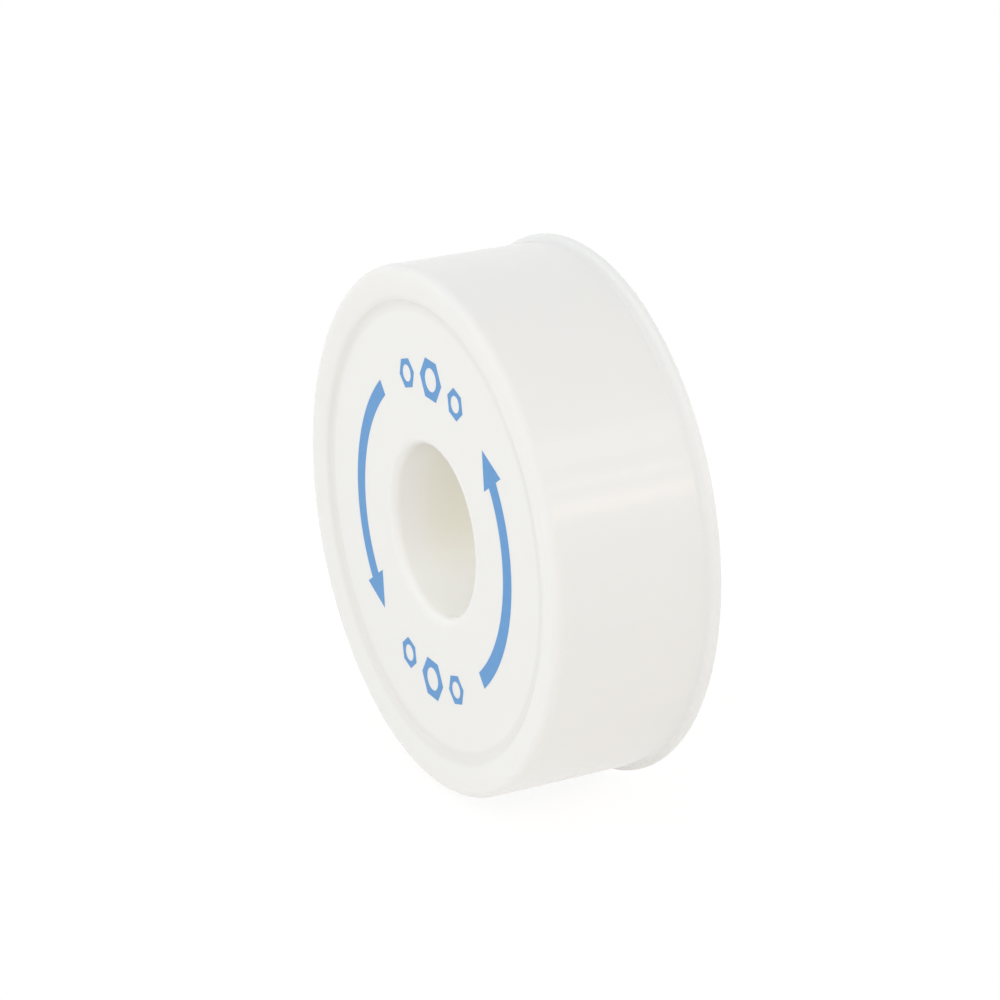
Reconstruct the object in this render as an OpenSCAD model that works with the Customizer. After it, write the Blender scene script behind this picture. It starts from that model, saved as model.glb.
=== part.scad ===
// Roll of thread seal tape in a two-part moulded case.
// A spool with one flange carries the wound tape. A cup-shaped cover pushes over it, and the
// flange closes the cover's flared mouth.
// The roll stands on its rim: its axis lies along Y and the cover's face looks along -Y.

/* [Tape] */
// Width of the tape
tape_w = 19; // [10:0.5:30]
// Thickness of one layer of tape
tape_t = 0.2; // [0.1:0.05:0.4]
// Length of tape on the roll
tape_len = 15000; // [8000:500:20000]
// Gap between the tape and the flange
tape_rear_gap = 0.3; // [0.2:0.1:1]
// Gap between the tape and the inside of the cover's face
tape_front_gap = 0.95; // [0.6:0.05:2]
// Gap between the outer turn and the inside of the cover's wall
tape_side_gap = 0.75; // [0.5:0.05:3]
// Radial clearance between the wound tape and the hub
tape_fit = 0.05; // [0.02:0.01:0.1]

/* [Bore] */
// Diameter of the hole through the roll
bore_d = 23.5; // [18:0.5:30]
// Rounding where the cover's face turns into the hole
bore_fillet = 1.2; // [0.4:0.1:1.2]
// Rounding of the hole at the back of the flange
bore_rear_fillet = 0.5; // [0.2:0.1:0.8]

/* [Cover] */
// Thickness of the cover's side wall
cover_wall = 1.2; // [0.8:0.1:2]
// Thickness of the cover's face
face_t = 1.3; // [1.2:0.1:2]
// Width of the raised rim round the face
rim_w = 4.7; // [3.5:0.1:8]
// Depth of the face below the crown of the rim
recess = 1; // [0.7:0.05:1.1]
// Rounding of the rim's outer edge
rim_edge = 1.2; // [0.6:0.1:1.5]
// How far the rim falls from its crown to its inner edge
rim_fall = 0.6; // [0.3:0.05:0.6]
// Hollow rounding from the rim's inner edge down to the face
step_fillet = 1.2; // [1:0.1:2]
// How far the lip round the mouth stands out past the wall
lip_over = 0.9; // [0.5:0.1:1.2]
// Rounding of the lip
lip_edge = 0.65; // [0.5:0.05:0.8]
// Hollow rounding where the wall flares into the lip
lip_root = 1.2; // [0.7:0.1:2]
// Width of the ledge in the mouth that meets the flange
ledge_w = 0.6; // [0.4:0.1:0.7]
// Rounding of the mouth's edge
mouth_edge = 0.2; // [0.1:0.05:0.3]
// Hollow rounding inside the case, where wall and rim meet
inside_fillet = 0.8; // [0.3:0.1:1]
// Thickness of the tube that plugs into the hub
spigot_wall = 1.2; // [0.8:0.1:2]
// Rounding of the plug-in end of that tube
spigot_lead = 0.5; // [0.2:0.1:0.7]
// Hollow rounding where that tube meets the face
spigot_root = 0.4; // [0.2:0.1:0.4]
// Gap left between the cover and the flange when it is pushed home
seat_gap = 0.05; // [0:0.05:0.3]

/* [Spool] */
// Thickness of the flange
flange_t = 1.3; // [1:0.1:1.6]
// Radial clearance of the flange in the cover's mouth
flange_fit = 0.1; // [0.05:0.05:0.2]
// Rounding of both edges of the flange
flange_edge = 0.3; // [0.1:0.1:0.4]
// Thickness of the hub's wall
hub_wall = 1.2; // [0.9:0.1:2]
// Radial clearance of the cover's tube in the hub
hub_fit = 0.05; // [0.02:0.01:0.1]
// Gap between the hub's end and the inside of the cover's face
hub_end_gap = 0.5; // [0.4:0.1:1]
// Rounding of the hub's mouth
hub_lead = 0.4; // [0.1:0.05:0.4]

/* [Hidden] */
// Radii, from the hole outwards
bore_r = bore_d / 2;
spigot_r = bore_r + spigot_wall;
hub_bore_r = spigot_r + hub_fit;
hub_r = hub_bore_r + hub_wall;
tape_bore_r = hub_r + tape_fit;
wound_r = sqrt(pow(tape_bore_r, 2) + tape_len * tape_t / PI);
cover_bore_r = wound_r + tape_side_gap;
flange_r = cover_bore_r + ledge_w;
mouth_r = flange_r + flange_fit;
cover_r = cover_bore_r + cover_wall;
rim_r = cover_r - rim_w;
lip_r = cover_r + lip_over;

// Heights along the axis, from the back of the flange to the crown of the rim
tape_z = flange_t + tape_rear_gap;
face_back_z = tape_z + tape_w + tape_front_gap;
face_z = face_back_z + face_t;
step_h = recess - rim_fall;
rim_back_z = face_back_z + step_h;
case_h = face_z + recess;
seat_z = flange_t + seat_gap;
hub_end_z = face_back_z - hub_end_gap;

// The rim's top is one shallow arc, from the outer rounding to the inner edge
crown_x = cover_r - rim_edge;
rim_run = crown_x - rim_r;
crown_r = (pow(rim_run, 2) + pow(rim_fall, 2)) / (2 * rim_fall);

// A hollow arc runs from the rim's inner edge down to the face
cove_x = rim_r - sqrt(2 * step_fillet * step_h - pow(step_h, 2));

// The flare of the mouth is a hollow arc that runs on into the round lip
lip_reach = lip_edge + lip_root;
flare_h = sqrt(pow(lip_reach, 2) - pow(lip_reach - lip_over, 2));
lip_centre = [lip_r - lip_edge, lip_edge];
root_centre = [cover_r + lip_root, lip_edge + flare_h];

// The outer turn of tape is four quarter arcs, each one step wider than the last
arc_step = tape_t / 4;
core_r = wound_r - tape_t;

// Cuts and fills run past the faces they meet by this much
overrun = 0.05;
// Roundness of large circles and of small corner arcs
$fn = 136;
corner_fn = 40;
// Half a step of a large circle, so that the roll stands on a side of it and not on a corner
side_turn = 180 / $fn;

shell_colour = [0.95, 0.95, 0.93];
spool_colour = [0.92, 0.94, 0.95];
tape_colour = [0.98, 0.98, 0.97];

// The sliver between a square corner and the arc that rounds it
module corner(r) {
    difference() {
        translate([-overrun, -overrun])
            square(r + overrun);
        translate([r, r])
            circle(r, $fn = corner_fn);
    }
}

// A corner sliver at a point of a profile, turned so that its arc lies inside
module corner_at(point, turn, r) {
    translate(point)
        rotate(turn)
            corner(r);
}

// A rectangle of a profile, from one corner to the opposite one
module block(low, high) {
    translate(low)
        square(high - low);
}

// Stands the roll on its rim, with the middle of its footprint at the origin
module stand() {
    translate([0, case_h / 2, lip_r])
        rotate([90, side_turn, 0])
            children();
}

module spool_profile() {
    difference() {
        union() {
            block([bore_r, 0], [flange_r, flange_t]);
            block([hub_bore_r, 0], [hub_r, hub_end_z]);
        }
        corner_at([flange_r, 0], 90, flange_edge);
        corner_at([flange_r, flange_t], 180, flange_edge);
        corner_at([bore_r, 0], 0, bore_rear_fillet);
        corner_at([hub_bore_r, hub_end_z], 270, hub_lead);
        corner_at([hub_r, hub_end_z], 180, hub_lead);
    }
}

// The lip round the mouth: a hollow flare from the wall out to a round edge
module lip_profile() {
    difference() {
        polygon([
            [cover_bore_r, 0],
            [lip_centre[0], 0],
            lip_centre,
            root_centre,
            [cover_r, root_centre[1]],
            [cover_bore_r, root_centre[1]],
        ]);
        translate(root_centre)
            circle(lip_root, $fn = corner_fn);
    }
    translate(lip_centre)
        circle(lip_edge, $fn = corner_fn);
}

// The inner foot of the rim, which sweeps down to the face
module rim_foot() {
    difference() {
        block([cove_x, face_back_z], [rim_r + face_t, case_h]);
        translate([cove_x, face_z + step_fillet])
            circle(step_fillet, $fn = corner_fn);
    }
}

// What the crown of the rim leaves free above it
module above_crown() {
    difference() {
        block([rim_r - overrun, face_z], [crown_x, case_h + overrun]);
        translate([crown_x, case_h - crown_r])
            circle(crown_r);
    }
}

module cover_profile() {
    difference() {
        union() {
            block([cover_bore_r, 0], [cover_r, case_h]);
            lip_profile();
            block([rim_r + overrun, rim_back_z], [cover_r, case_h]);
            rim_foot();
            block([bore_r, face_back_z], [rim_r + face_t, face_z]);
            block([bore_r, seat_z], [spigot_r, face_z]);
            corner_at([cover_bore_r, rim_back_z], 180, inside_fillet);
            corner_at([spigot_r, face_back_z], 270, spigot_root);
        }
        above_crown();
        block([cover_bore_r - overrun, -overrun], [mouth_r, seat_z]);
        corner_at([mouth_r, 0], 0, mouth_edge);
        corner_at([cover_r, case_h], 180, rim_edge);
        corner_at([bore_r, face_z], 270, bore_fillet);
        corner_at([spigot_r, seat_z], 90, spigot_lead);
    }
}

// One quarter of the outer turn: its centre steps round a small square
module quarter_arc(index) {
    centre = arc_step * [[0, 0], [0, -1], [1, -1], [1, 0]][index];
    arc_r = core_r + index * arc_step;
    translate(centre)
        rotate(index * 90)
            intersection() {
                circle(arc_r);
                square(arc_r + overrun);
            }
}

module spool() {
    color(spool_colour)
        stand()
            rotate_extrude()
                spool_profile();
}

module cover() {
    color(shell_colour)
        stand()
            rotate_extrude()
                cover_profile();
}

// The tape's inner turns are one core; its outer turn spirals out to the cut end
module tape_roll() {
    color(tape_colour)
        stand()
            translate([0, 0, tape_z])
                linear_extrude(tape_w)
                    difference() {
                        for (index = [0 : 3])
                            quarter_arc(index);
                        circle(tape_bore_r);
                    }
}

spool();
cover();
tape_roll();
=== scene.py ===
# %% [markdown]
# # A roll of thread seal tape in its white case
#
# The roll is a small moulded case: a spool with one flange carries the wound tape, and a
# cup-shaped cover pushes over it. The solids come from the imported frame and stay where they
# are. This lesson gives them their finish, winds the real tape in place of the plain core,
# prints a plain mark on the face and sets up the studio.

# %% Load the frame
import math

import bpy
from mathutils import Matrix, Vector


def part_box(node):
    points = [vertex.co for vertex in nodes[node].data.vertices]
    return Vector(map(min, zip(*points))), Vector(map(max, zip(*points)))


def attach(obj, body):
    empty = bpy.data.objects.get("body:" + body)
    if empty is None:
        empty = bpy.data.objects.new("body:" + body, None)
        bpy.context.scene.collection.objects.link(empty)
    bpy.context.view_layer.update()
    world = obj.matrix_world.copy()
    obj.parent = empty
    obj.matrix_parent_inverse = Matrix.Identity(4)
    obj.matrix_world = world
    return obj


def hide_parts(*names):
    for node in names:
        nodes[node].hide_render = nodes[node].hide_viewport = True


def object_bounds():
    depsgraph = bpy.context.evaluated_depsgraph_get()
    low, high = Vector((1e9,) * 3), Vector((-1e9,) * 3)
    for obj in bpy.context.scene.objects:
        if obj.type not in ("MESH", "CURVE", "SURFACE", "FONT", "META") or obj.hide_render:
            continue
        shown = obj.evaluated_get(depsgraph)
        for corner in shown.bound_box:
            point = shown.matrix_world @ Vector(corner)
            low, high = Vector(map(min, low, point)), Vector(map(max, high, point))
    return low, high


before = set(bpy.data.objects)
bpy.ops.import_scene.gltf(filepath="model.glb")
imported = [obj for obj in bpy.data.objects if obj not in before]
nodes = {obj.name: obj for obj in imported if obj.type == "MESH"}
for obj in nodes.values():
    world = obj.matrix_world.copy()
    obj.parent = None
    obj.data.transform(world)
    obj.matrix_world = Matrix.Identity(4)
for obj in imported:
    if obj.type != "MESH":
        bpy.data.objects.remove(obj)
cad_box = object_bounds()
scene = bpy.context.scene
MM = 0.001

cover_low, cover_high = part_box("cover")
tape_low, tape_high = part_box("tape_roll")
AXIS_HEIGHT = (cover_low.z + cover_high.z) / 2
FRONT = Vector((0.0, cover_low.y, AXIS_HEIGHT))

# %% [markdown]
# ## Camera
#
# The picture was taken with a long lens from the right and a little above. Such a view could be
# found by eye, but a circle seen at a slant gives it away: the ovals of the rim and of the hole
# fix the angles, and how much smaller the back looks than the front fixes the distance. The
# middle of the front face is then put on its own pixel.

# %% Camera
IMAGE_SIDE = 1000
SENSOR_WIDTH = 36.0
FOCAL_PIXELS = 3500.0
VIEW_AZIMUTH = math.radians(62.12)
VIEW_ELEVATION = math.radians(21.48)
VIEW_DISTANCE = 464.6 * MM
FRONT_PIXEL = (424.9, 533.4)

back = Vector((
    math.sin(VIEW_AZIMUTH) * math.cos(VIEW_ELEVATION),
    -math.cos(VIEW_AZIMUTH) * math.cos(VIEW_ELEVATION),
    math.sin(VIEW_ELEVATION),
))
turn = (-back).to_track_quat("-Z", "Y")
right = turn @ Vector((1.0, 0.0, 0.0))
up = turn @ Vector((0.0, 1.0, 0.0))
metres_per_pixel = VIEW_DISTANCE / FOCAL_PIXELS
across = (IMAGE_SIDE / 2 - FRONT_PIXEL[0]) * metres_per_pixel
above = (FRONT_PIXEL[1] - IMAGE_SIDE / 2) * metres_per_pixel

camera_data = bpy.data.cameras.new("studio_camera")
camera_data.sensor_width = SENSOR_WIDTH
camera_data.lens = SENSOR_WIDTH * FOCAL_PIXELS / IMAGE_SIDE
camera = bpy.data.objects.new("studio_camera", camera_data)
scene.collection.objects.link(camera)
camera.rotation_mode = "QUATERNION"
camera.rotation_quaternion = turn
camera.location = FRONT + back * VIEW_DISTANCE + right * across + up * above
scene.camera = camera
scene.view_settings.view_transform = "Standard"
print("camera at", [round(value, 4) for value in camera.location], "lens", round(camera_data.lens, 1))

# %% [markdown]
# ## A small language for shader nodes
#
# A finish is a graph of nodes, and graphs are hard to read as code. Two small classes make it
# readable: one wraps a socket so that sums on it add Math nodes, and one holds a node tree and
# adds any other node by its type, its settings and its sockets. Colours are written as a picture
# shows them, and turned into the linear values that sockets take.


# %% Shader nodes
class Wire:
    """One output socket, which can be used in sums."""

    def __init__(self, graph, socket):
        self.graph = graph
        self.socket = socket

    def maths(self, operation, first, second):
        return self.graph.node("ShaderNodeMath", {"operation": operation}, {0: first, 1: second})

    def __add__(self, other):
        return self.maths("ADD", self, other)

    def __sub__(self, other):
        return self.maths("SUBTRACT", self, other)

    def __rsub__(self, other):
        return self.maths("SUBTRACT", other, self)

    def __mul__(self, other):
        return self.maths("MULTIPLY", self, other)

    def __lt__(self, other):
        return self.maths("LESS_THAN", self, other)

    def __gt__(self, other):
        return self.maths("GREATER_THAN", self, other)

    __radd__ = __add__
    __rmul__ = __mul__


class Graph:
    """A node tree whose nodes all come from one method."""

    def __init__(self, owner):
        owner.use_nodes = True
        self.tree = owner.node_tree
        self.tree.nodes.clear()

    def node(self, kind, settings=None, sockets=None, output=0):
        """Adds a node with its settings and the values or links of its sockets."""
        made = self.tree.nodes.new(kind)
        for name, value in (settings or {}).items():
            setattr(made, name, value)
        for name, value in (sockets or {}).items():
            if isinstance(value, Wire):
                self.tree.links.new(value.socket, made.inputs[name])
            else:
                made.inputs[name].default_value = value
        if not made.outputs:
            return None
        return Wire(self, made.outputs[output])

    def blend(self, share, first, second):
        """A colour between two others."""
        sockets = {0: share, 6: first, 7: second}
        return self.node("ShaderNodeMix", {"data_type": "RGBA"}, sockets, output=2)


def srgb(red, green, blue):
    """A colour as a picture shows it, from 0 to 255, as the linear colour that a socket takes."""
    shares = [value / 255 for value in (red, green, blue)]
    linear = [s / 12.92 if s <= 0.04045 else ((s + 0.055) / 1.055) ** 2.4 for s in shares]
    return (*linear, 1.0)


WHITE = srgb(255, 255, 255)
print("a grey of 128 in a picture is", round(srgb(128, 128, 128)[0], 3), "in a socket")

# %% [markdown]
# ## Studio
#
# Small white goods are photographed in a light tent. A white roll in even light would look flat,
# so large soft panels stand on all sides of it, each at its own level, and the tent itself gives
# the rest. Mirrored in the wall at a low angle, the panels would wash it out, so they are kept out
# of reflections. Three narrow strips to the right and behind are mirrored, and make the bright
# bands along the wall. The floor and the background are white to the camera, and the floor still
# takes part of the roll's shadow.

# %% Background
AMBIENT = 0.39
TENT_WHITE = (0.96, 0.98, 1.0, 1.0)


def seen_directly(graph):
    """One where the eye, a reflection or a view through something looks at the background."""
    looks = [graph.node("ShaderNodeLightPath", output=name)
             for name in ("Is Camera Ray", "Is Glossy Ray", "Is Transmission Ray")]
    return looks[0] + looks[1] + looks[2] > 0.5


world = bpy.data.worlds.new("light_tent")
scene.world = world
sky = Graph(world)
seen = seen_directly(sky)
tent = sky.node("ShaderNodeBackground", sockets={"Color": TENT_WHITE, "Strength": AMBIENT})
backdrop = sky.node("ShaderNodeBackground", sockets={"Color": WHITE, "Strength": 1.0})
shown = sky.node("ShaderNodeMixShader", sockets={0: seen, 1: tent, 2: backdrop})
sky.node("ShaderNodeOutputWorld", sockets={"Surface": shown})
print("background", world.name, "ambient light", AMBIENT)

# %% Floor
FLOOR_SIDE = 6.0
FLOOR_PAPER = srgb(250, 247, 243)
FLOOR_WHITE_SHARE = 0.86
FLOOR_GLOW = 1.05

bpy.ops.object.select_all(action="DESELECT")
bpy.ops.mesh.primitive_plane_add(size=FLOOR_SIDE)
floor = bpy.context.object
floor.name = "floor"
floor_finish = bpy.data.materials.new("white_floor")
paper = Graph(floor_finish)
matte = paper.node("ShaderNodeBsdfDiffuse", sockets={"Color": FLOOR_PAPER})
glow = paper.node("ShaderNodeEmission", sockets={"Color": WHITE, "Strength": FLOOR_GLOW})
share = seen_directly(paper) * FLOOR_WHITE_SHARE
sheet = paper.node("ShaderNodeMixShader", sockets={0: share, 1: matte, 2: glow})
paper.node("ShaderNodeOutputMaterial", sockets={"Surface": sheet})
floor.data.materials.append(floor_finish)
print("floor", FLOOR_SIDE, "m wide")

# %% Lamps
MIDDLE = (cad_box[0] + cad_box[1]) / 2


def soft_panel(name, direction, distance, width, height, level, colour, mirrored=False):
    """A soft panel that looks at the roll; level 1 alone lights a white card to white."""
    lamp = bpy.data.lights.new(name, "AREA")
    lamp.shape = "RECTANGLE"
    lamp.size = width
    lamp.size_y = height
    lamp.energy = level * math.pi ** 2 * distance ** 2
    lamp.color = colour
    panel = bpy.data.objects.new(name, lamp)
    scene.collection.objects.link(panel)
    towards = Vector(direction).normalized()
    panel.location = MIDDLE + towards * distance
    panel.rotation_euler = towards.to_track_quat("Z", "Y").to_euler()
    panel.visible_camera = False
    panel.visible_glossy = mirrored


soft_panel("front_panel", (-0.13, -0.77, 0.62), 0.8, 0.86, 0.64, 0.275, (0.92, 0.96, 1.0))
soft_panel("right_panel", (0.75, -0.55, 0.35), 0.8, 0.92, 0.66, 0.3, (1.0, 0.975, 0.965))
soft_panel("left_panel", (-0.8, -0.45, 0.4), 0.8, 0.7, 0.5, 0.165, (0.96, 0.98, 1.0))
soft_panel("back_panel", (0.3, 0.85, 0.4), 0.8, 0.7, 0.5, 0.2, (1.0, 0.985, 0.97))
soft_panel("rear_panel", (-0.25, 0.95, 0.12), 0.8, 0.6, 0.5, 0.2, (1.0, 1.0, 1.0))
soft_panel("top_panel", (0.1, 0.1, 1.0), 0.9, 0.8, 0.8, 0.12, (0.99, 0.98, 1.0))
soft_panel("high_strip", (0.62, 0.435, 0.652), 0.8, 0.6, 0.14, 0.028, (1.0, 1.0, 0.97), mirrored=True)
soft_panel("thin_strip", (0.76, 0.435, 0.482), 0.7, 0.25, 0.012, 0.007, (1.0, 1.0, 1.0), mirrored=True)
soft_panel("warm_strip", (0.831, 0.435, 0.346), 0.8, 0.6, 0.08, 0.044, (1.0, 0.84, 0.78), mirrored=True)

# %% [markdown]
# ## Moulded plastic
#
# The case is white polypropylene, a satin plastic that lets a little light in, so its edges look
# soft and its hollows warm. A single white would look like paint. Faint clouds in the colour, a
# slow change of gloss, a fine skin texture and a few specks of dust in the moulding make it a
# plastic. Its white also changes a little from place to place, and some light and shade is painted
# into it: it is cooler and a little darker on the thin lip round the mouth as a painted reflection
# and shade, darker in the corner where the rim steps down to the face as painted shade, warmer and
# darker deep in the hole as painted shade and paler at the hole's foot as painted light. All of
# this is small next to the shading.

# %% Places on the case
LIP_DEPTH = 2.6 * MM
LIP_START = cover_high.y - LIP_DEPTH
LIP_RUN = 1.2 * MM
STEP_RADIUS = 30.75 * MM
STEP_REACH = 1.3 * MM
HOLE_RADIUS = 11.8 * MM
HOLE_EDGE = 0.8 * MM
HOLE_REACH = 8.0 * MM
FOOT_UNDER_AXIS = 11.5 * MM
FOOT_RUN = 7.5 * MM
FOOT_HEIGHT = AXIS_HEIGHT - FOOT_UNDER_AXIS


def rise(finish, value, start, end):
    """Zero up to one value and one from another on, with a smooth run between them."""
    return finish.node("ShaderNodeMapRange", {"interpolation_type": "SMOOTHSTEP"}, {
        "Value": value, "From Min": start, "From Max": end})


def near(finish, value, middle, reach):
    """One at a value, fading to zero on both sides of it."""
    off = value - middle
    return 1.0 - rise(finish, off * off, 0.0, reach ** 2)


def axis_distance(finish, place):
    """How far a point lies from the roll's axis."""
    sockets = {0: place, 1: (1.0, 0.0, 1.0), 2: (0.0, 0.0, -AXIS_HEIGHT)}
    flat = finish.node("ShaderNodeVectorMath", {"operation": "MULTIPLY_ADD"}, sockets)
    return finish.node("ShaderNodeVectorMath", {"operation": "LENGTH"}, {0: flat}, output="Value")


print("the lip starts at", round(LIP_START / MM, 2), "mm along the axis")

# %% Colours on the case
CLOUD_SCALE = 55.0
# Painted reflection and shade: the lip is a little cooler and darker in the colour.
LIP_PAINTED_REFLECTION_AND_SHADE_TINT = srgb(243, 243, 240)
# Painted shade: the corner where the rim steps down to the face is darkened in the colour.
STEP_PAINTED_SHADE_TINT = srgb(205, 200, 186)
# Painted shade: deep in the hole the white is warmer and darker.
HOLE_PAINTED_SHADE_WARM = srgb(241, 238, 226)
# Painted light: the hole's foot is paler, a painted pool of light.
HOLE_PAINTED_LIGHT_PALE = srgb(253, 252, 247)
SPECK_TINT = srgb(120, 116, 108)
SPECK_SCALE = 420.0
SPECK_SIZE_SHARE = 0.03
SPECK_CHANCE_SHARE = 0.25
SPECK_DARKNESS_SHARE = 0.12


def noise(finish, place, scale, detail=2.0):
    """A smooth random pattern between zero and one."""
    return finish.node("ShaderNodeTexNoise", sockets={"Vector": place, "Scale": scale, "Detail": detail})


def specks(finish, place):
    """One inside a few tiny spots, zero elsewhere."""
    spread = {"feature": "F1"}
    size = {"Vector": place, "Scale": SPECK_SCALE}
    close = finish.node("ShaderNodeTexVoronoi", spread, size, output="Distance") < SPECK_SIZE_SHARE
    tint = finish.node("ShaderNodeTexVoronoi", spread, size, output="Color")
    chance = finish.node("ShaderNodeSeparateColor", sockets={"Color": tint}) < SPECK_CHANCE_SHARE
    return close * chance


def plastic_colour(finish, place, pale, deep, painted_step_shade):
    """A white between two close colours, with painted reflection and shade on the lip, painted shade in the
    step and deep in the hole, and painted light at the hole's foot.
    """
    along = finish.node("ShaderNodeSeparateXYZ", sockets={"Vector": place}, output="Y")
    height = finish.node("ShaderNodeSeparateXYZ", sockets={"Vector": place}, output="Z")
    radius = axis_distance(finish, place)
    # Painted reflection and shade on the lip.
    lip_painted_reflection_mask = rise(finish, along, LIP_START, LIP_START + LIP_RUN)
    plain = finish.blend(lip_painted_reflection_mask, finish.blend(noise(finish, place, CLOUD_SCALE), pale, deep), LIP_PAINTED_REFLECTION_AND_SHADE_TINT)
    # Painted shade deep in the hole.
    hole_painted_shade = finish.blend(near(finish, along, 0.0, HOLE_REACH), plain, HOLE_PAINTED_SHADE_WARM)
    # Painted light at the hole's foot.
    hole_painted_light_and_shade = finish.blend(rise(finish, height, FOOT_HEIGHT, FOOT_HEIGHT + FOOT_RUN), HOLE_PAINTED_LIGHT_PALE, hole_painted_shade)
    outside = rise(finish, radius, HOLE_RADIUS, HOLE_RADIUS + HOLE_EDGE)
    # Painted shade in the corner of the step.
    painted_step_shade_mask = near(finish, radius, STEP_RADIUS, STEP_REACH) * painted_step_shade
    clear = finish.blend(painted_step_shade_mask, finish.blend(outside, hole_painted_light_and_shade, plain), STEP_PAINTED_SHADE_TINT)
    return finish.blend(specks(finish, place) * SPECK_DARKNESS_SHARE, clear, SPECK_TINT)


print("specks are up to", round(2 * SPECK_SIZE_SHARE / SPECK_SCALE / MM, 2), "mm wide")

# %% Finish of the case
GLOSS_SCALE = 160.0
GLOSS_SPREAD = 0.1
SKIN_SCALE = 1800.0
SKIN_DEPTH = 0.004 * MM
SKIN_STRENGTH = 0.6
COAT_SHARE = 0.6
COAT_ROUGHNESS = 0.12
PLASTIC_IOR = 1.49
PLASTIC_GLOW_REACH = 1.0 * MM
PLASTIC_GLOW_SHARES = (1.0, 0.95, 0.85)
# Share of the painted shade in the corner of the step.
STEP_PAINTED_SHADE_SHARE = 0.17


def bumps(finish, height, depth, strength):
    """The direction of a surface with a fine relief."""
    return finish.node("ShaderNodeBump", sockets={"Strength": strength, "Distance": depth, "Height": height})


def moulded_plastic(name, pale, deep, roughness, glow_share, painted_step_shade):
    """A satin white plastic that lets a little light in."""
    material = bpy.data.materials.new(name)
    finish = Graph(material)
    place = finish.node("ShaderNodeTexCoord", output="Object")
    gloss = noise(finish, place, GLOSS_SCALE, detail=3.0)
    skin = noise(finish, place, SKIN_SCALE)
    shader = finish.node("ShaderNodeBsdfPrincipled", {"subsurface_method": "RANDOM_WALK"}, {
        "Base Color": plastic_colour(finish, place, pale, deep, painted_step_shade),
        "Roughness": roughness - GLOSS_SPREAD / 2 + gloss * GLOSS_SPREAD,
        "IOR": PLASTIC_IOR,
        "Coat Weight": COAT_SHARE,
        "Coat Roughness": COAT_ROUGHNESS,
        "Subsurface Weight": glow_share,
        "Subsurface Radius": PLASTIC_GLOW_SHARES,
        "Subsurface Scale": PLASTIC_GLOW_REACH,
        "Normal": bumps(finish, skin, SKIN_DEPTH, SKIN_STRENGTH),
    })
    finish.node("ShaderNodeOutputMaterial", sockets={"Surface": shader})
    return material


def dress(node_name, material):
    """Gives a solid of the frame its finish."""
    mesh = nodes[node_name].data
    mesh.materials.clear()
    mesh.materials.append(material)


# The cover carries the painted shade in its step; the spool has none.
cover_white = moulded_plastic("cover_white", srgb(246, 245, 241), srgb(244, 243, 239),
                              roughness=0.36, glow_share=0.25, painted_step_shade=STEP_PAINTED_SHADE_SHARE)
spool_white = moulded_plastic("spool_white", srgb(243, 244, 244), srgb(240, 242, 243),
                              roughness=0.34, glow_share=0.35, painted_step_shade=0.0)
dress("cover", cover_white)
dress("spool", spool_white)
print("finishes", cover_white.name, spool_white.name)

# %% [markdown]
# ## Tape
#
# The tape is one strip of soft white film, wound on the hub turn upon turn until fifteen metres
# are on it. A plain ring could stand for it, but when the cover is off, the edge of the roll
# shows its turns and the strip its cut end. So the strip is wound for real: a spiral curve with
# one step of the tape's thickness per turn, drawn out to the tape's width and given a thickness.
# Each turn wanders a little along the axis, as wound film does, and the cut end lifts a little.

# %% Turns of the tape
TAPE_THICKNESS = 0.2 * MM
TAPE_BORE_RADIUS = 14.25 * MM
TAPE_LENGTH = 15.0
STEPS_PER_TURN = 72

wound_radius = math.sqrt(TAPE_BORE_RADIUS ** 2 + TAPE_LENGTH * TAPE_THICKNESS / math.pi)
turns = (wound_radius - TAPE_BORE_RADIUS) / TAPE_THICKNESS
steps = round(turns * STEPS_PER_TURN)
print("the tape fills", round(turns, 1), "turns, up to", round(wound_radius / MM, 2), "mm from the axis")

# %% Spiral of the tape
WANDER = 0.05 * MM
LIFT = 0.3 * MM
LIFT_TURN_SHARE = 0.07
SWAY_SHARES = (0.6, 0.4)
SWAY_RATES = (2.4, 5.1)
SWAY_STARTS = (0.0, 1.0)


def wander(turn_number):
    """How far a turn lies off the middle, as a share of the most."""
    sways = zip(SWAY_SHARES, SWAY_RATES, SWAY_STARTS)
    return sum(share * math.sin(rate * turn_number + start) for share, rate, start in sways)


spiral = bpy.data.curves.new("tape_winding", "CURVE")
spiral.dimensions = "3D"
line = spiral.splines.new("POLY")
line.points.add(steps)
length = 0.0
last = None
for step, point in enumerate(line.points):
    to_go = (steps - step) / STEPS_PER_TURN
    loose = max(0.0, 1.0 - to_go / LIFT_TURN_SHARE)
    radius = wound_radius - TAPE_THICKNESS * (to_go + 0.5) + LIFT * loose ** 2
    angle = -2 * math.pi * to_go
    here = Vector((radius * math.cos(angle), radius * math.sin(angle), WANDER * wander(to_go)))
    point.co = (*here, 1.0)
    length += (here - last).length if last else 0.0
    last = here

tape = bpy.data.objects.new("tape_winding", spiral)
scene.collection.objects.link(tape)
print("the spiral is", round(length, 2), "m long")

# %% Wound tape
AIR_SHARE = 0.06
SMOOTH_ANGLE = math.radians(30)
tape_width = tape_high.y - tape_low.y - 2 * WANDER


def select_only(*pieces):
    """Selects these pieces and nothing else, and makes the first one active."""
    bpy.ops.object.select_all(action="DESELECT")
    for piece in pieces:
        piece.select_set(True)
    bpy.context.view_layer.objects.active = pieces[0]


def apply_thickness(piece, thickness):
    """Gives a sheet a wall, half of it on each side."""
    select_only(piece)
    wall = piece.modifiers.new("wall", "SOLIDIFY")
    wall.thickness = thickness
    wall.offset = 0.0
    bpy.ops.object.modifier_apply(modifier=wall.name)


def put_in_place(piece, matrix):
    """Moves a piece and keeps the place in its mesh."""
    select_only(piece)
    piece.matrix_world = matrix
    bpy.ops.object.transform_apply(location=True, rotation=True, scale=True)
    return piece


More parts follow.
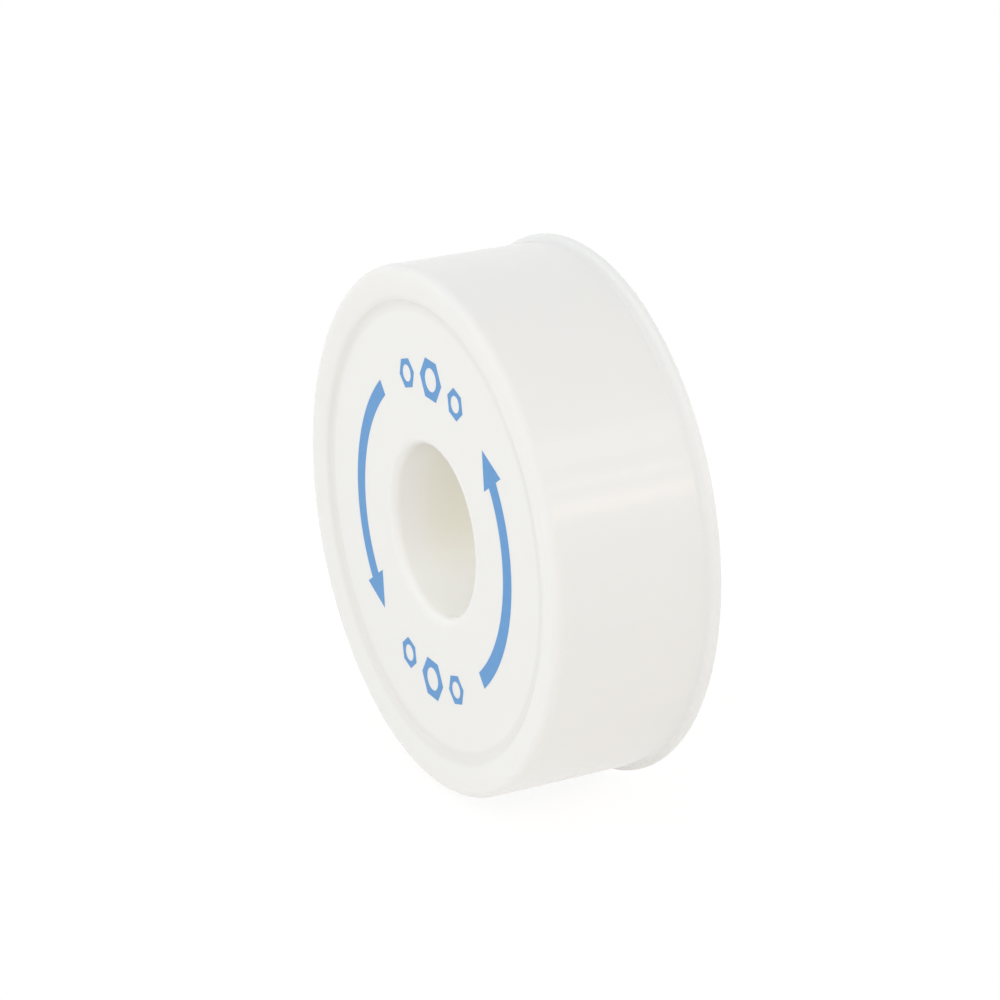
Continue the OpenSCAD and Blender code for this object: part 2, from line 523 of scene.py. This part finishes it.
def stand_on_axis(piece, along):
    """Lifts a piece drawn flat round the origin on to the roll's axis, facing the front."""
    place = Matrix.Translation((0.0, along, AXIS_HEIGHT))
    put_in_place(piece, place @ Matrix.Rotation(math.pi / 2, 4, "X"))


select_only(tape)
bpy.ops.object.convert(target="MESH")
bpy.ops.object.mode_set(mode="EDIT")
bpy.ops.mesh.select_all(action="SELECT")
bpy.ops.mesh.extrude_region_move(TRANSFORM_OT_translate={"value": (0.0, 0.0, tape_width)})
bpy.ops.object.mode_set(mode="OBJECT")
apply_thickness(tape, TAPE_THICKNESS * (1 - AIR_SHARE))
bpy.ops.object.shade_smooth_by_angle(angle=SMOOTH_ANGLE)
stand_on_axis(tape, tape_high.y - WANDER)
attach(tape, "tape")
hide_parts("tape_roll")
print("tape", round(tape_width / MM, 2), "mm wide,", len(tape.data.polygons), "faces")

# %% [markdown]
# ## Film
#
# Unsintered film is chalk white and matte, a little waxy, with fine lines along its length from
# the rollers that pressed it. Lines along the strip are rings round the axis, so a noise that
# is stretched in the other two directions draws them on every turn at once.

# %% Finish of the tape
FILM_PALE = srgb(250, 250, 248)
FILM_DEEP = srgb(238, 239, 236)
LINE_SCALE = 2600.0
LINE_STRETCH = (0.03, 1.0, 0.03)
LINE_COLOUR_SHARE = 0.4
LINE_DEPTH = 0.01 * MM
LINE_STRENGTH = 0.5
FILM_ROUGHNESS = 0.5
FILM_ROUGHNESS_SPREAD = 0.15
FILM_IOR = 1.35
FILM_GLOW_SHARE = 0.2
FILM_GLOW_REACH = 0.4 * MM


def soft_film(name):
    """Matte white film with lines along its length."""
    material = bpy.data.materials.new(name)
    finish = Graph(material)
    place = finish.node("ShaderNodeTexCoord", output="Object")
    stretched = finish.node("ShaderNodeMapping", sockets={"Vector": place, "Scale": LINE_STRETCH})
    lines = noise(finish, stretched, LINE_SCALE, detail=3.0)
    cloud = noise(finish, place, CLOUD_SCALE, detail=3.0)
    depth = cloud * (1 - LINE_COLOUR_SHARE) + lines * LINE_COLOUR_SHARE
    shader = finish.node("ShaderNodeBsdfPrincipled", {"subsurface_method": "RANDOM_WALK"}, {
        "Base Color": finish.blend(depth, FILM_PALE, FILM_DEEP),
        "Roughness": FILM_ROUGHNESS + lines * FILM_ROUGHNESS_SPREAD,
        "IOR": FILM_IOR,
        "Subsurface Weight": FILM_GLOW_SHARE,
        "Subsurface Radius": (1.0, 1.0, 1.0),
        "Subsurface Scale": FILM_GLOW_REACH,
        "Normal": bumps(finish, lines, LINE_DEPTH, LINE_STRENGTH),
    })
    finish.node("ShaderNodeOutputMaterial", sockets={"Surface": shader})
    return material


tape.data.materials.append(soft_film("tape_film"))
print("finish", tape.data.materials[0].name)

# %% [markdown]
# ## Print on the face
#
# The face of such a cover carries a print in one blue ink. Here it is a plain one: two curved
# arrows that say which way the roll turns, and hexagon nuts between them above and below. Each
# part is drawn flat on the board. An edge spun round the middle makes an arrow's shaft and a
# three-sided disc its head, and a bridge from a hexagon to a circle makes a nut. Then the
# drawing gets the thickness of a coat of ink and is laid on the face.

# %% Where the print lies
INK_THICKNESS = 0.02 * MM
INK_SUNK = 0.005 * MM
PRINT_REACH = 27.0 * MM

points = [vertex.co for vertex in nodes["cover"].data.vertices]
inside_rim = [p for p in points if math.hypot(p.x, p.z - AXIS_HEIGHT) < PRINT_REACH]
FACE_Y = min(p.y for p in inside_rim)


def join(name, parts):
    """Makes several meshes one piece."""
    select_only(*parts)
    bpy.ops.object.join()
    parts[0].name = name
    return parts[0]


def lay_on_face(piece, ink):
    """Gives a flat drawing the thickness of ink and lays it on the cover's face."""
    apply_thickness(piece, INK_THICKNESS)
    stand_on_axis(piece, FACE_Y + INK_SUNK - INK_THICKNESS / 2)
    piece.data.materials.append(ink)
    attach(piece, "cover")
    return piece


print("the face lies", round((FACE_Y - cover_low.y) / MM, 3), "mm behind the rim")

# %% Ink
INK_DEEP = srgb(76, 145, 208)
INK_THIN = srgb(98, 160, 215)
INK_SCALE = 900.0
INK_ROUGHNESS = 0.36
INK_ROUGHNESS_SPREAD = 0.12


def blue_ink(name):
    """One coat of blue, a little thin in places."""
    material = bpy.data.materials.new(name)
    finish = Graph(material)
    place = finish.node("ShaderNodeTexCoord", output="Object")
    thin = noise(finish, place, INK_SCALE, detail=4.0)
    shader = finish.node("ShaderNodeBsdfPrincipled", sockets={
        "Base Color": finish.blend(thin, INK_DEEP, INK_THIN),
        "Roughness": INK_ROUGHNESS + thin * INK_ROUGHNESS_SPREAD,
    })
    finish.node("ShaderNodeOutputMaterial", sockets={"Surface": shader})
    return material


ink = blue_ink("print_blue")
print("ink", ink.name)

# %% Arrows
PRINT_RADIUS = 21.4 * MM
ARROW_WIDTH = 2.3 * MM
ARROW_SWEEP = math.radians(84)
ARROW_MIDDLES = (math.radians(-6), math.radians(174))
ARC_STEP = math.radians(2)
HEAD_RADIUS = 3.2 * MM
MERGE_SHARE = 0.01


def arc_strip(name, middle):
    """A flat strip of even width along an arc round the origin."""
    bpy.ops.object.select_all(action="DESELECT")
    bpy.ops.mesh.primitive_plane_add(size=ARROW_WIDTH, location=(PRINT_RADIUS, 0.0, 0.0))
    strip = bpy.context.object
    strip.name = name
    bpy.ops.object.transform_apply(location=True, rotation=True, scale=True)
    bpy.ops.object.mode_set(mode="EDIT")
    bpy.ops.mesh.select_all(action="SELECT")
    bpy.ops.transform.resize(value=(1.0, 0.0, 1.0), center_override=(PRINT_RADIUS, 0.0, 0.0))
    bpy.ops.mesh.remove_doubles(threshold=ARROW_WIDTH * MERGE_SHARE)
    bpy.ops.mesh.select_all(action="SELECT")
    arc_steps = round(ARROW_SWEEP / ARC_STEP)
    bpy.ops.mesh.spin(steps=arc_steps, angle=ARROW_SWEEP, center=(0.0, 0.0, 0.0), axis=(0.0, 0.0, 1.0))
    bpy.ops.mesh.select_all(action="SELECT")
    bpy.ops.mesh.remove_doubles(threshold=ARROW_WIDTH * MERGE_SHARE)
    bpy.ops.mesh.normals_make_consistent(inside=False)
    bpy.ops.object.mode_set(mode="OBJECT")
    total = sum((vertex.co for vertex in strip.data.vertices), Vector())
    return put_in_place(strip, Matrix.Rotation(middle - math.atan2(total.y, total.x), 4, "Z"))


def arrow(name, middle):
    """A curved arrow that turns against the clock."""
    shaft = arc_strip(name, middle)
    bpy.ops.object.select_all(action="DESELECT")
    bpy.ops.mesh.primitive_circle_add(vertices=3, radius=HEAD_RADIUS, fill_type="NGON")
    head = bpy.context.object
    turned = Matrix.Rotation(middle + ARROW_SWEEP / 2, 4, "Z")
    put_in_place(head, turned @ Matrix.Translation((PRINT_RADIUS, HEAD_RADIUS / 2, 0.0)))
    return join(name, [shaft, head])


arrows = [lay_on_face(arrow("print_arrow_%d" % (number + 1), middle), ink)
          for number, middle in enumerate(ARROW_MIDDLES)]
print("arrows", [piece.name for piece in arrows])

# %% Nuts
NUT_RADIUS = 3.1 * MM
NUT_HOLE_SHARE = 0.52
NUT_SIDES = 6
CUTS_PER_SIDE = 5
NUT_SIZE_SHARES = {-1: 0.72, 0: 1.0, 1: 0.72}
NUT_SPACING = math.radians(19)


def nut(name, radius, angle):
    """A hexagon nut seen from its end."""
    bpy.ops.object.select_all(action="DESELECT")
    bpy.ops.mesh.primitive_circle_add(vertices=NUT_SIDES, radius=radius)
    piece = bpy.context.object
    piece.name = name
    bpy.ops.object.mode_set(mode="EDIT")
    bpy.ops.mesh.select_all(action="SELECT")
    bpy.ops.mesh.subdivide(number_cuts=CUTS_PER_SIDE)
    hole_sides = NUT_SIDES * (CUTS_PER_SIDE + 1)
    bpy.ops.mesh.primitive_circle_add(vertices=hole_sides, radius=radius * NUT_HOLE_SHARE)
    bpy.ops.mesh.select_all(action="SELECT")
    bpy.ops.mesh.bridge_edge_loops()
    bpy.ops.mesh.normals_make_consistent(inside=False)
    bpy.ops.object.mode_set(mode="OBJECT")
    out = Matrix.Translation((PRINT_RADIUS, 0.0, 0.0))
    return put_in_place(piece, Matrix.Rotation(angle, 4, "Z") @ out)


for side, upright in (("top", math.pi / 2), ("foot", -math.pi / 2)):
    nuts = [nut("print_nuts_" + side, NUT_RADIUS * share, upright + place * NUT_SPACING)
            for place, share in NUT_SIZE_SHARES.items()]
    group = lay_on_face(join("print_nuts_" + side, nuts), ink)
    print("nuts", group.name, len(group.data.polygons), "faces")
